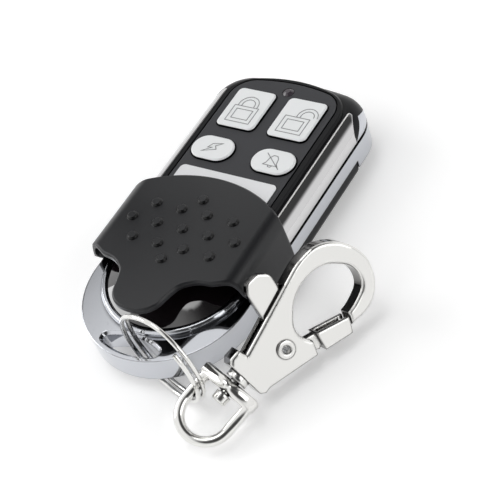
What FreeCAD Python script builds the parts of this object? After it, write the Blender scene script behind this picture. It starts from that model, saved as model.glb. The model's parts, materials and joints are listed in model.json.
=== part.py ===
import FreeCAD, Part
import math
import os

from FreeCAD import Placement, Rotation, Vector

# Cloning remote control with a sliding cover, a split ring and a swivel clasp.
# Units are millimetres. The origin is the middle of the body's footprint on the
# flat back, +Z goes out of the key face and +Y points to the lamp end.

# Body plan
body_width = 37.0
body_length = 76.4
corner_radius = 8.5
end_crown = 0.7

half_width = body_width / 2
tip_y = -body_length / 2
ring_end_y = tip_y + half_width
end_y = body_length / 2
side_end_y = end_y - end_crown - corner_radius

# Heights over the table
cover_seam_z = 4.4
groove_low_z = 7.6
groove_high_z = 8.4
shoulder_top_z = 12.5
face_z = 13.3

# Walls and general clearances
frame_wall = 1.6
shell_wall = 1.3
cover_wall = 1.2
fit_gap = 0.1
slide_gap = 0.15
free_gap = 0.35
weld = 0.1

# Key ring end
land_z = 8.0
ring_end_low_z = 2.5
bezel_setback = 4.0
bezel_inset = 2.1
bezel_width = 1.45
bezel_top_z = 9.3
bezel_edge = 0.45
dome_height = 3.4
dome_steps = 5
cavity_inset = 3.9
slot_bar = 1.5
slot_half_length = 6.6
slot_depth = 4.2
slot_inner_radius = 14.3
slot_corner = 0.8
bar_relief = 0.95
slot_relief = 0.6

bezel_centre_y = ring_end_y + bezel_setback
bezel_radius = half_width - bezel_inset
cavity_radius = half_width - cavity_inset
slot_inner_y = tip_y + slot_bar + slot_depth

# Back cover
cover_side_inset = 0.3
cover_rim_radius = 2.6
cover_floor_inset = 2.2
cradle_x = 8.5
cradle_half_length = 3.4
cradle_thickness = 1.2

# Towers at the lamp end and the black insert between them
tower_length = 3.8
insert_inset = 3.6
tower_y = side_end_y - tower_length
insert_half_width = half_width - insert_inset

# Key face
shell_end_y = bezel_centre_y + 2.0
plateau_half_width = half_width - 3.7
plateau_end_y = end_y - 3.0
plateau_corner = 7.5
plateau_crown = 0.8
plateau_edge = 0.35
panel_half_width = half_width - 5.5
panel_end_y = end_y - 4.2
panel_corner = 5.4
panel_thickness = 0.9
groove_width = 0.35
trim_half_width = half_width - 6.6
trim_length = 11.0
trim_thickness = 0.5
trim_corner = 1.2
trim_proud = 0.15

# Keys, two tall ones under the lamp and two wide ones below them
big_key_width = 9.49
big_key_length = 11.35
big_key_corner = 1.3
big_key_spacing = 1.63
big_key_from_end = 13.3
small_key_width = 10.0
small_key_length = 6.5
small_key_margin = 0.484
key_row_gap = 3.375
key_proud = 0.65
key_travel = 0.4
key_travel_room = 0.1
key_gap = 0.25
key_edge = 0.3
key_flange = 0.6
key_flange_thickness = 0.7
key_stem_half = 1.4
trim_row_gap = 2.35

big_key_x = (big_key_width + 2 * big_key_spacing) / 2
big_key_y = end_y - big_key_from_end
small_key_x = panel_half_width - small_key_margin - small_key_width / 2
small_key_y = big_key_y - (big_key_length + small_key_length) / 2 - key_row_gap
trim_end_y = small_key_y - small_key_length / 2 - trim_row_gap
trim_low_y = trim_end_y - trim_length
panel_low_y = trim_low_y - 2.0

# Lamp
lamp_from_end = 6.15
lamp_radius = 1.25
lamp_proud = 0.5
lamp_top_radius = 0.6
lamp_flange = 0.35
lamp_flange_thickness = 0.8
lamp_y = end_y - lamp_from_end

# Battery, a 12 volt cell that lies across the body
cell_radius = 4.0
cell_length = 27.5
cell_nub = 0.6
cell_nub_radius = 1.9
cell_y = shell_end_y + cell_radius + 1.1
cell_centre_z = cover_wall + fit_gap + cell_radius
contact_thickness = 0.4
contact_width = 5.0
contact_tab = 1.7

# Circuit board and what it carries
board_top_z = 9.0
board_thickness = 1.0
board_half_width = half_width - 3.3
board_end_y = end_y - 5.0
board_low_y = cell_y + cell_radius + 1.4
board_corner = 4.5
board_under_z = board_top_z - board_thickness
board_middle_y = (board_low_y + board_end_y) / 2
switch_size = 4.5
switch_height = 1.2
switch_corner = 0.4
plunger_half = 0.9
plunger_foot_z = board_top_z + 0.3
plunger_top_z = board_top_z + switch_height + key_travel + 0.3

# Fixing screws and their bosses
screw_radius = 0.8
screw_head_radius = 1.6
screw_head_height = 1.0
screw_sunk = 0.2
screw_top_z = 7.2
recess_depth = 0.55
recess_width = 0.44
screw_x = half_width - 5.1
screw_y = end_y - 20.6
end_screw_y = tip_y + 14.7
boss_radius = 1.7
boss_collar_radius = 2.3
boss_foot_z = 2.2

# Lip and skirt of the upper shell inside the frame
lip_inset = 0.9
lip_low_z = 6.2
skirt_inset = frame_wall + fit_gap
skirt_wall = 1.1

# Sliding cover
slider_top_z = 15.5
slider_roof = 1.2
slider_wall = 0.75
slider_side_gap = 0.65
slider_flank_low_z = 2.6
slider_crease_z = 7.8
slider_shoulder_radius = 3.6
slider_draft = 15.0
slider_front_radius = 30.0
slider_front_corner = 3.0
slider_edge = 0.35
slider_travel = 28.5
tongue_length = 10.7
tongue_corner = 1.2
bump_radius = 1.2
bump_height = 0.55
bump_sides = 12
bump_edge = 0.35
bump_pitch_x = 6.25
bump_pitch_y = 4.686
bump_single_reach = 8.066

slider_half_width = half_width + slider_side_gap + slider_wall
slider_shoulder_x = half_width - 3.5
slider_front_y = trim_end_y - 3.0
tongue_root_y = tip_y + 6.6 + tongue_length
slider_rib_low_y = tongue_root_y + 5.6
slider_rib_high_y = slider_front_y - 9.0
bump_row_y = (slider_front_y + tongue_root_y) / 2 - 2.05

# Chrome rails on the shoulders
rail_thickness = 0.8
rail_inner_x = half_width - 3.25
rail_end_y = end_y - 7.4
rail_side_end_y = end_y - 11.8
shoulder_radius = 0.988 * (shoulder_top_z - groove_high_z)

# Split ring
ring_wire = 0.95
ring_sides = 10
ring_mean_radius = 10.4
ring_left_x = 0.35
ring_over_tip = 4.25
ring_heading = -16.0
ring_table_gap = 0.1
ring_contact_angle = -28.0
ring_pitch = 1.4
ring_step_angle = 100.0
ring_end_clearance = 12.0

# Swivel eye and clasp
eye_wire = 2.2
eye_half_width = 5.2
eye_straight = 6.6
eye_base_half = 1.3
eye_base_edge = 0.45
eye_link_along = 4.4
link_gap = 0.3
clasp_heading = 71.96
clasp_rise = 11.77
eye_roll = 20.0
clasp_roll = 60.4
post_radius = 1.0
post_end_u = 5.6
post_head_radius = 1.6
post_head_length = 2.0
post_head_edge = 0.4
barrel_radius = 2.3
barrel_length = 1.3
clasp_reach = 35.7
clasp_thickness = 4.2
clasp_cheek = 1.0
clasp_edge = 0.4
rivet_u = 12.25
rivet_w = -2.6
rivet_radius = 1.2
rivet_bore = 0.85
rivet_flange_radius = 1.9
rivet_flange = 0.35
lever_thickness = 1.7
lever_hub_radius = 2.5
lever_hub_web = 0.8
tab_corner = 1.5
gate_wall = 0.8
gate_tip_radius = 13.9
spring_radius = 1.9
spring_height = 0.7
spring_wire = 0.35
slot_end_u = 6.2

os.makedirs("parts", exist_ok=True)
nodes = {}


def box(x0, y0, z0, x1, y1, z1):
    return Part.makeBox(x1 - x0, y1 - y0, z1 - z0, Vector(x0, y0, z0))


def rod(radius, length, base, direction):
    return Part.makeCylinder(radius, length, base, direction)


def upright(radius, z0, z1, x=0.0, y=0.0):
    return rod(radius, z1 - z0, Vector(x, y, z0), Vector(0, 0, 1))


def square_post(half, z0, z1, x, y):
    return box(x - half, y - half, z0, x + half, y + half, z1)


def line(a, b):
    return Part.LineSegment(a, b).toShape()


def arc(a, middle, b):
    return Part.Arc(a, middle, b).toShape()


# Arc that leaves one end along a tangent and reaches the other
def arc_between(start, tangent, end):
    chord = end - start
    half_turn = tangent.getAngle(chord)
    corner = start + tangent * (0.5 * chord.Length / math.cos(half_turn))
    middle = (start + end) * 0.5
    lift = corner - middle
    if lift.Length < 1e-6:
        return line(start, end)
    return arc(start, middle + lift.normalize() * (0.5 * chord.Length * math.tan(half_turn / 2)), end)


# Two arcs that join two points with the wire's direction kept at both ends
def biarc(start, start_dir, end, end_dir):
    gap = end - start
    both = start_dir + end_dir
    a = 2 * (1 - start_dir.dot(end_dir))
    b = gap.dot(both)
    reach = (math.sqrt(b * b + a * gap.dot(gap)) - b) / a
    first = start + start_dir * reach
    second = end - end_dir * reach
    joint = (first + second) * 0.5
    return [arc_between(start, start_dir, joint), arc_between(joint, (second - first).normalize(), end)]


# Smooth chain of arcs through points, each given with its heading in degrees
def chain(stations, z=0.0):
    edges = []
    for (x0, y0, head0), (x1, y1, head1) in zip(stations, stations[1:]):
        start = Vector(x0, y0, z)
        end = Vector(x1, y1, z)
        start_dir = Vector(math.cos(math.radians(head0)), math.sin(math.radians(head0)), 0)
        end_dir = Vector(math.cos(math.radians(head1)), math.sin(math.radians(head1)), 0)
        edges += biarc(start, start_dir, end, end_dir)
    return edges


def prism(edges, height, direction=Vector(0, 0, 1)):
    face = Part.Face(Part.Wire(edges))
    return face.extrude(direction * height)


def polygon(points, height, direction=Vector(0, 0, 1)):
    closed = list(points) + [points[0]]
    return prism([line(a, b) for a, b in zip(closed, closed[1:])], height, direction)


def mirror_x(shape):
    return shape.mirror(Vector(0, 0, 0), Vector(1, 0, 0))


def edges_where(shape, test):
    return [edge for edge in shape.Edges if test(edge)]


def vertical(edge):
    box_of = edge.BoundBox
    return box_of.ZLength > 0.01 and box_of.XLength < 1e-6 and box_of.YLength < 1e-6


def on_level(edge, z):
    box_of = edge.BoundBox
    return abs(box_of.ZMin - z) < 1e-6 and abs(box_of.ZMax - z) < 1e-6


def join(shapes):
    result = shapes[0]
    for shape in shapes[1:]:
        result = result.fuse(shape)
    return result.removeSplitter()


# One closed outline for everything that follows the body's plan: straight sides,
# rounded corners and a slightly crowned end, each tangent to the next
def plan_edges(z, half, low_y, top_y, corner, crown, round_low=False):
    centre_x = half - corner
    end_radius = (centre_x ** 2 + crown ** 2) / (2 * crown)
    end_centre_y = top_y - end_radius
    side_y = end_centre_y + math.sqrt((end_radius - corner) ** 2 - centre_x ** 2)
    turn = math.atan2(side_y - end_centre_y, centre_x)

    def on_corner(angle, side):
        return Vector(side * (centre_x + corner * math.cos(angle)), side_y + corner * math.sin(angle), z)

    right_low = Vector(half, low_y, z)
    left_low = Vector(-half, low_y, z)
    right_side = on_corner(0.0, 1)
    left_side = on_corner(0.0, -1)
    right_top = on_corner(turn, 1)
    left_top = on_corner(turn, -1)
    edges = [line(right_low, right_side), arc(right_side, on_corner(turn / 2, 1), right_top)]
    edges.append(arc(right_top, Vector(0, top_y, z), left_top))
    edges += [arc(left_top, on_corner(turn / 2, -1), left_side), line(left_side, left_low)]
    if round_low:
        edges.append(arc(left_low, Vector(0, low_y - half, z), right_low))
    else:
        edges.append(line(left_low, right_low))
    return edges


def plan_prism(z0, z1, half, low_y, top_y, corner, crown, round_low=False):
    return prism(plan_edges(z0, half, low_y, top_y, corner, crown, round_low), z1 - z0)


def body_prism(z0, z1, inset=0.0, low_y=None, round_low=True):
    low = ring_end_y if low_y is None else low_y
    corner = corner_radius - inset
    return plan_prism(z0, z1, half_width - inset, low, end_y - inset, corner, end_crown, round_low)


# Shoulder of the upper shell, rounded from the side into the face
def shoulder(inset):
    top = shoulder_top_z - inset
    block = body_prism(groove_high_z, top, inset, shell_end_y, False)
    rim = edges_where(block, lambda item: on_level(item, top) and item.CenterOfMass.y > shell_end_y + weld)
    return block.makeFillet(shoulder_radius - inset, rim)


def slot_prism(z0, z1):
    outer_radius = half_width - slot_bar
    inner_centre_y = slot_inner_y - slot_inner_radius
    x = slot_half_length
    outer_end = ring_end_y - math.sqrt(outer_radius ** 2 - x ** 2)
    inner_end = inner_centre_y + math.sqrt(slot_inner_radius ** 2 - x ** 2)
    a = Vector(-x, outer_end, z0)
    b = Vector(x, outer_end, z0)
    c = Vector(x, inner_end, z0)
    d = Vector(-x, inner_end, z0)
    edges = [arc(a, Vector(0, ring_end_y - outer_radius, z0), b), line(b, c)]
    edges += [arc(c, Vector(0, slot_inner_y, z0), d), line(d, a)]
    solid = prism(edges, z1 - z0)
    corner = min(slot_corner, 0.48 * abs(inner_end - outer_end))
    return solid.makeFillet(corner, edges_where(solid, vertical))


def cavity_prism(z0, z1):
    inner = half_width - frame_wall
    straight = plan_prism(z0, z1, inner, bezel_centre_y, end_y - frame_wall,
                          corner_radius - frame_wall, end_crown)
    return straight.fuse(upright(cavity_radius, z0, z1, 0, bezel_centre_y)).removeSplitter()


# Chrome frame: ring end with the key slot, side walls and two corner towers
def make_frame():
    ring_end = body_prism(ring_end_low_z, land_z)
    ring_end = ring_end.common(box(-half_width, tip_y, 0, half_width, shell_end_y - 2.0, face_z))
    walls = body_prism(cover_seam_z, groove_low_z)
    towers = body_prism(ring_end_low_z, groove_low_z)
    towers = towers.common(box(-half_width, tower_y, 0, half_width, end_y, face_z))
    frame = join([ring_end, walls, towers])
    frame = frame.cut(cavity_prism(0, face_z))
    slot = slot_prism(ring_end_low_z - 1, land_z + 1)
    frame = frame.cut(slot)
    frame = frame.cut(insert_prism(0, face_z))
    frame = frame.makeChamfer(bar_relief, frame_edges_at_slot(frame, ring_end_low_z))
    inner_top = edges_where(frame, lambda item: on_level(item, land_z) and abs(item.CenterOfMass.x) < weld
                            and abs(item.CenterOfMass.y - slot_inner_y) < slot_depth / 4)
    return frame.makeChamfer(slot_relief, inner_top)


# Edges of the slot's outer arc at one height, rounded so that the ring swings past
def frame_edges_at_slot(frame, z):
    radius = half_width - slot_bar
    found = []
    for edge in edges_where(frame, lambda item: on_level(item, z)):
        middle = edge.CenterOfMass
        reach = math.hypot(middle.x, middle.y - ring_end_y)
        if middle.y < slot_inner_y - 2.0 and reach < radius + 0.05:
            found.append(edge)
    return found


def insert_prism(z0, z1, side_gap=0.0, inner_gap=0.0):
    x = insert_half_width - side_gap
    block = box(-x, side_end_y, z0, x, end_y + 1, z1)
    inner = body_prism(z0 - 1, z1 + 1, frame_wall + inner_gap)
    return block.cut(inner)


def make_insert():
    outer = body_prism(ring_end_low_z, groove_low_z)
    return outer.common(insert_prism(ring_end_low_z, groove_low_z, 0.05))


# Back cover, a shallow tray with a rounded rim, cell cradle and screw seats
def make_cover():
    half = half_width - cover_side_inset
    rim = cover_rim_radius
    side = box(-half, bezel_centre_y, 0, half, tower_y - fit_gap, cover_seam_z)
    inner_top = plan_prism(0, cover_seam_z, half_width - frame_wall - fit_gap, bezel_centre_y,
                           end_y - frame_wall - fit_gap, corner_radius - frame_wall, end_crown)
    low_end = upright(cavity_radius - fit_gap, 0, cover_seam_z, 0, bezel_centre_y)
    low_end = low_end.common(box(-half, tip_y, 0, half, bezel_centre_y + 1, face_z))
    tray = join([side, inner_top, low_end])
    tray = tray.common(rim_profile(half, rim)).common(rim_end_profile(half, rim))
    inset = cover_floor_inset
    hollow = plan_prism(cover_wall, face_z, half - inset, bezel_centre_y, end_y - frame_wall - inset,
                        corner_radius - inset, end_crown)
    hollow_low = upright(cavity_radius - frame_wall, cover_wall, face_z, 0, bezel_centre_y)
    tray = tray.cut(hollow.fuse(hollow_low))
    half_rib = cradle_thickness / 2
    low_y = cell_y - cradle_half_length
    high_y = cell_y + cradle_half_length
    for x in (-cradle_x, cradle_x):
        cradle = box(x - half_rib, low_y, cover_wall - weld, x + half_rib, high_y, cover_seam_z)
        bed = rod(cell_radius + fit_gap, 4 * half_rib, Vector(x - 2 * half_rib, cell_y, cell_centre_z),
                  Vector(1, 0, 0))
        tray = tray.fuse(cradle.cut(bed))
    for x, y in screw_places():
        seat = square_post(boss_collar_radius, cover_wall - weld, boss_foot_z, x, y)
        tray = tray.fuse(seat)
        tray = tray.cut(upright(screw_radius + fit_gap, -1, boss_foot_z + 1, x, y))
        tray = tray.cut(upright(screw_head_radius + fit_gap, -1, screw_sunk + screw_head_height + 0.05, x, y))
    return tray.removeSplitter()


def rim_profile(half, rim):
    low = tip_y - 1
    diagonal = rim * (1 - math.sqrt(0.5))
    a = Vector(-half + rim, low, 0)
    b = Vector(half - rim, low, 0)
    c = Vector(half, low, rim)
    d = Vector(half, low, cover_seam_z)
    e = Vector(-half, low, cover_seam_z)
    f = Vector(-half, low, rim)
    edges = [line(a, b), arc(b, Vector(half - diagonal, low, diagonal), c), line(c, d)]
    edges += [line(d, e), line(e, f), arc(f, Vector(-half + diagonal, low, diagonal), a)]
    return prism(edges, body_length + 2, Vector(0, 1, 0))


def rim_end_profile(half, rim):
    low = bezel_centre_y - cavity_radius + fit_gap
    top = end_y - frame_wall - fit_gap
    diagonal = rim * (1 - math.sqrt(0.5))
    x = -half - 1
    a = Vector(x, low + rim, 0)
    b = Vector(x, top - rim, 0)
    c = Vector(x, top, rim)
    d = Vector(x, top, cover_seam_z)
    e = Vector(x, low, cover_seam_z)
    f = Vector(x, low, rim)
    edges = [line(a, b), arc(b, Vector(x, top - diagonal, diagonal), c), line(c, d)]
    edges += [line(d, e), line(e, f), arc(f, Vector(x, low + diagonal, diagonal), a)]
    return prism(edges, 2 * half + 2, Vector(1, 0, 0))


def screw_places():
    return [(-screw_x, screw_y), (screw_x, screw_y), (0.0, end_screw_y)]


# Upper shell with the raised face, lip, key windows, board bosses and lamp hole
def rail_prism():
    z = groove_high_z
    inner = rail_inner_x
    outer = half_width + 1
    slope = [Vector(inner, shell_end_y, z), Vector(outer, shell_end_y, z)]
    slope += [Vector(outer, rail_side_end_y - 0.7, z), Vector(half_width - 0.3, rail_side_end_y + 0.5, z)]
    slope += [Vector(inner + 0.9, rail_end_y - 0.2, z), Vector(inner + 0.3, rail_end_y, z)]
    slope += [Vector(inner, rail_end_y - 0.4, z)]
    return polygon(slope, face_z - z)


def make_rail(outer, inner):
    return outer.common(rail_prism()).cut(inner)


def face_plateau(z0, z1, shrink=0.0):
    top_y = plateau_end_y + plateau_crown - shrink
    return plan_prism(z0, z1, plateau_half_width - shrink, shell_end_y, top_y,
                      plateau_corner - shrink, plateau_crown)


def make_shell(outer, rails):
    plateau = face_plateau(groove_high_z, face_z)
    rim = edges_where(plateau, lambda item: on_level(item, face_z)
                      and item.CenterOfMass.y > shell_end_y + weld)
    plateau = plateau.makeChamfer(plateau_edge, rim)
    track = body_prism(groove_low_z, groove_high_z, lip_inset, shell_end_y, False)
    skirt = body_prism(lip_low_z, groove_low_z, skirt_inset, shell_end_y, False)
    shell = join([outer, plateau, track, skirt])
    roof_z = face_z - panel_thickness - shell_wall
    inset = skirt_inset + skirt_wall
    room = plan_prism(0, roof_z, half_width - inset, shell_end_y + shell_wall, end_y - inset,
                      corner_radius - inset, end_crown)
    shell = shell.cut(room)
    shell = shell.cut(rod(cell_radius + free_gap, body_width - 2 * inset,
                          Vector(inset - half_width, cell_y, cell_centre_z), Vector(1, 0, 0)))
    for rail in rails:
        shell = shell.cut(rail)
    shell = shell.cut(panel_prism(face_z - panel_thickness, face_z + 1, -groove_width))
    for key in keys:
        shell = shell.cut(key_window(key, roof_z - 1, face_z))
    shell = shell.cut(upright(lamp_radius + fit_gap, roof_z - 1, face_z + 1, 0, lamp_y))
    for x, y in screw_places()[:2]:
        collar = square_post(boss_collar_radius, board_top_z, roof_z + weld, x, y)
        boss = upright(boss_radius - fit_gap, boss_foot_z, board_top_z + weld, x, y)
        shell = shell.fuse(collar).fuse(boss)
        shell = shell.cut(upright(screw_radius, boss_foot_z - 1, board_top_z + 1.5, x, y))
    return shell.removeSplitter()


# Inlaid key panel with its windows, and the bright plate below the keys
def panel_prism(z0, z1, shrink=0.0):
    return plan_prism(z0, z1, panel_half_width - shrink, panel_low_y, panel_end_y + end_crown - shrink,
                      panel_corner - shrink, end_crown)


def trim_prism(z0, z1, gap=0.0):
    half = trim_half_width + gap
    block = box(-half, trim_low_y - gap, z0, half, trim_end_y + gap, z1)
    corners = edges_where(block, lambda item: vertical(item) and item.CenterOfMass.y > 0)
    return block.makeFillet(trim_corner, corners)


def make_panel():
    panel = panel_prism(face_z - panel_thickness, face_z)
    for key in keys:
        panel = panel.cut(key_prism(key, face_z - 2, face_z + 1, key_gap))
    panel = panel.cut(upright(lamp_radius + fit_gap, face_z - 2, face_z + 1, 0, lamp_y))
    return panel.cut(trim_prism(face_z - trim_thickness, face_z + 1, fit_gap))


# Keys: name, centre, size and corner
def key_prism(key, z0, z1, grow=0.0):
    name, x, y, width, length, corner = key
    w = width / 2 + grow
    h = length / 2 + grow
    block = box(x - w, y - h, z0, x + w, y + h, z1)
    radius = min(corner + grow, h - 0.01)
    return block.makeFillet(radius, edges_where(block, vertical))


# Plain window in the shell's roof that clears the key's flange
def key_window(key, z0, z1):
    name, x, y, width, length, corner = key
    w = width / 2 + key_gap + key_flange
    h = length / 2 + key_gap + key_flange
    return box(x - w, y - h, z0, x + w, y + h, z1)


def make_key(key):
    name, x, y, width, length, corner = key
    top = face_z + key_proud
    under = face_z - panel_thickness - key_travel_room
    cap = key_prism(key, under - key_flange_thickness, top)
    cap = cap.makeChamfer(key_edge, edges_where(cap, lambda item: on_level(item, top)))
    flange = box(x - width / 2 - key_flange, y - length / 2 - key_flange, under - key_flange_thickness,
                 x + width / 2 + key_flange, y + length / 2 + key_flange, under)
    stem = square_post(key_stem_half, plunger_top_z, under - key_flange_thickness + weld, x, y)
    return join([cap, flange, stem])


def make_switches():
    bodies = []
    for name, x, y, width, length, corner in keys:
        half = switch_size / 2
        block = box(x - half, y - half, board_top_z, x + half, y + half, board_top_z + switch_height)
        block = block.makeChamfer(switch_corner, edges_where(block, vertical))
        well = square_post(plunger_half + fit_gap, plunger_foot_z - fit_gap, face_z, x, y)
        bodies.append(block.cut(well))
    return Part.makeCompound(bodies)


# Board with notches for the bosses, and the parts soldered to it
def make_board():
    x = board_half_width
    z0 = board_under_z
    board = plan_prism(z0, board_top_z, x, board_low_y, board_end_y, board_corner, end_crown)
    for bx, by in screw_places()[:2]:
        board = board.cut(upright(boss_radius, z0 - 1, board_top_z + 1, bx, by))
        outward = box(min(bx, bx * 2), by - boss_radius, z0 - 1, max(bx, bx * 2), by + boss_radius, face_z)
        board = board.cut(outward)
    return board


# Chip with flat leads under the board
def make_chip(x, y, width, length, height, pins, pitch):
    z = board_under_z
    shape = [box(x - width / 2, y - length / 2, z - height, x + width / 2, y + length / 2, z - 0.1)]
    first = y - pitch * (pins - 1) / 2
    for index in range(pins):
        py = first + index * pitch
        reach = width / 2 + 0.8
        shape.append(box(x - reach, py - 0.2, z - 0.25, x + reach, py + 0.2, z))
    return join(shape)


def make_small_parts():
    z = board_under_z
    low_row = [(x, board_low_y + 6.2) for x in (-9.0, -6.0, -3.0)]
    side_row = [(9.5, board_low_y + y) for y in (7.2, 10.2, 13.2)]
    high_row = [(-6.0, board_end_y - 13.2), (6.0, board_end_y - 12.2)]
    pieces = [box(x - 0.8, y - 0.4, z - 0.5, x + 0.8, y + 0.4, z) for x, y in low_row + side_row + high_row]
    return Part.makeCompound(pieces)


def make_resonator():
    z = board_under_z
    can_radius = 2.3
    x = 6.5
    y = board_end_y - 5.7
    low = z - 1.9
    can = upright(can_radius, low, z - 0.3, x, y)
    flange = upright(can_radius + 0.4, z - 0.3, z, x, y)
    return can.fuse(flange).removeSplitter()


# Strip aerial on the lower side of the board, a square hoop on two legs
def make_aerial():
    half = 4.5
    strip = 0.7
    drop = 2.6
    y = board_end_y - 2.6
    low_z = board_under_z - drop
    span = box(-half, y, low_z, half, y + strip, low_z + strip)
    legs = [box(x, y, low_z, x + strip, y + strip, board_under_z) for x in (-half, half - strip)]
    return join([span] + legs)


def make_cell():
    start = -cell_length / 2
    body = rod(cell_radius, cell_length, Vector(start, cell_y, cell_centre_z), Vector(1, 0, 0))
    nub = rod(cell_nub_radius, cell_nub + weld, Vector(-start - weld, cell_y, cell_centre_z), Vector(1, 0, 0))
    return body.fuse(nub).removeSplitter()


def make_contact(side):
    reach = cell_length / 2 + (cell_nub if side > 0 else 0.0) + fit_gap / 2
    t = contact_thickness
    y0 = cell_y - contact_width / 2
    y1 = board_low_y + fit_gap
    y2 = y1 + contact_tab
    plate = box(reach, y0, cover_wall + free_gap, reach + t, y2, board_under_z)
    tab = box(reach - contact_tab, y1, board_under_z - t, reach + t, y2, board_under_z)
    piece = join([plate, tab])
    return piece if side > 0 else mirror_x(piece)


def make_lamp():
    wide = lamp_radius + lamp_flange
    flange = upright(wide, board_top_z, board_top_z + lamp_flange_thickness, 0, lamp_y)
    flange = flange.common(box(-2 * wide, lamp_y - wide, 0, 2 * wide, lamp_y + lamp_radius, face_z))
    body = upright(lamp_radius, board_top_z, face_z, 0, lamp_y)
    cap = Part.makeCone(lamp_radius, lamp_top_radius, lamp_proud, Vector(0, lamp_y, face_z))
    return join([flange, body, cap])


# Screws with a cross recess
def make_screws():
    screws = []
    low = screw_sunk
    for x, y in screw_places():
        head = upright(screw_head_radius, low, low + screw_head_height, x, y)
        shank = upright(screw_radius - fit_gap / 2, low + screw_head_height - weld, screw_top_z, x, y)
        screw = head.fuse(shank)
        for angle in (20, 110):
            half = recess_width / 2
            reach = screw_head_radius - 0.6
            bar = box(-reach, -half, 0, reach, half, low + recess_depth)
            bar.Placement = Placement(Vector(x, y, 0), Rotation(Vector(0, 0, 1), angle))
            screw = screw.cut(bar)
        screws.append(screw.removeSplitter())
    return Part.makeCompound(screws)


# Bright bezel and the gloss dome of the ring end
def make_bezel():
    outer = upright(bezel_radius, land_z, bezel_top_z, 0, bezel_centre_y)
    inner = upright(bezel_radius - bezel_width, land_z - 1, bezel_top_z + 1, 0, bezel_centre_y)
    ring = outer.cut(inner)
    ring = ring.makeChamfer(bezel_edge, edges_where(ring, lambda item: on_level(item, bezel_top_z)))
    return ring.common(box(-half_width, tip_y, 0, half_width, shell_end_y - fit_gap, face_z))


# Dome cap turned from short straight steps that follow one sphere
def dome_turning():
    edge = bezel_radius - bezel_width - fit_gap / 2
    sphere_radius = (edge ** 2 + dome_height ** 2) / (2 * dome_height)
    rim_z = bezel_top_z - 0.3
    centre_z = rim_z + dome_height - sphere_radius
    points = [Vector(0, 0, land_z), Vector(edge, 0, land_z)]
    for step in range(dome_steps):
        x = edge * (1 - step / dome_steps)
        points.append(Vector(x, 0, centre_z + math.sqrt(sphere_radius ** 2 - x ** 2)))
    points += [Vector(0, 0, rim_z + dome_height), points[0]]
    half_section = Part.Face(Part.makePolygon(points))
    solid = half_section.revolve(Vector(0, 0, 0), Vector(0, 0, 1), 360)
    solid.translate(Vector(0, bezel_centre_y, 0))
    return solid


def make_dome():
    boss = upright(boss_collar_radius, boss_foot_z, land_z + 0.5, 0, end_screw_y)
    low = box(-half_width, tip_y, 0, half_width, shell_end_y - fit_gap, slider_top_z)
    dome = dome_turning().common(low).fuse(boss)
    return dome.cut(upright(screw_radius, 0, screw_top_z + 0.3, 0, end_screw_y)).removeSplitter()


# Sliding cover: drafted channel with a scalloped tongue, grip bumps and two ribs
def slider_section(shrink, z_low, y):
    top = slider_top_z - shrink * slider_roof / slider_wall
    draft = math.radians(slider_draft)
    radius = slider_shoulder_radius - shrink
    centre_z = slider_top_z - slider_shoulder_radius
    if shrink:
        centre_z = top - radius
    x = slider_shoulder_x
    middle = (math.pi / 2 + draft) / 2
    knee = Vector(x + radius * math.cos(draft), y, centre_z + radius * math.sin(draft))
    mid = Vector(x + radius * math.cos(middle), y, centre_z + radius * math.sin(middle))
    crown = Vector(x, y, top)
    crease = Vector(slider_half_width - shrink, y, slider_crease_z)
    foot = Vector(slider_half_width - shrink, y, z_low)
    right = [line(foot, crease), line(crease, knee), arc(knee, mid, crown)]

    def flip(point):
        return Vector(-point.x, point.y, point.z)

    left = [arc(flip(crown), flip(mid), flip(knee)), line(flip(knee), flip(crease))]
    left.append(line(flip(crease), flip(foot)))
    return right + [line(crown, flip(crown))] + left + [line(flip(foot), foot)]


def slider_plan(z0, z1):
    half = slider_half_width + 0.5
    drop = slider_front_radius - math.sqrt(slider_front_radius ** 2 - half ** 2)
    corner_y = slider_front_y - drop
    a = Vector(half, corner_y, z0)
    b = Vector(-half, corner_y, z0)

    def at(x, y):
        return Vector(x, y, z0)

    side = []
    for x, y, head in tongue_stations:
        side.append((x * slider_half_width, tongue_root_y - y * tongue_length, head))
    whole = side[:-1] + [(-x, y, 360 - head) for x, y, head in reversed(side)]
    wing_x = 0.824 * slider_half_width
    wing_y = tongue_root_y + 0.15 * tongue_length
    edge_y = tongue_root_y + 0.215 * tongue_length
    left = [b, at(-half, edge_y), at(-wing_x, wing_y), at(*whole[-1][:2])]
    right = [at(*whole[0][:2]), at(wing_x, wing_y), at(half, edge_y), a]
    edges = [arc(a, Vector(0, slider_front_y, z0), b)]
    edges += [line(p, q) for p, q in zip(left, left[1:])]
    edges += chain([(x, y, head + 180) for x, y, head in reversed(whole)], z0)
    edges += [line(p, q) for p, q in zip(right, right[1:])]
    solid = prism(edges, z1 - z0)
    front = edges_where(solid, lambda item: vertical(item) and item.CenterOfMass.y > corner_y - weld)
    solid = solid.makeFillet(slider_front_corner, front)
    bend = edges_where(solid, lambda item: vertical(item) and abs(abs(item.CenterOfMass.x) - wing_x) < weld)
    return solid.makeFillet(tongue_corner, bend)


# Side view of the flank, which runs back under the shoulder
def flank_profile():
    x = -slider_half_width - 1
    far_y = tip_y - body_width
    near_y = slider_front_y + 1
    high_z = slider_top_z + 1

    def back(part):
        return tongue_root_y + part * tongue_length

    points = [(far_y, high_z), (near_y, high_z), (near_y, 0.0), (back(0.72), 0.0)]
    points += [(back(0.645), slider_flank_low_z)]
    points += [(back(0.234), slider_crease_z + 1.6), (back(0.178), slider_crease_z + 3.4)]
    points += [(far_y, slider_crease_z + 3.4)]
    return polygon([Vector(x, y, z) for y, z in points], 2 * slider_half_width + 2, Vector(1, 0, 0))


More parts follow.
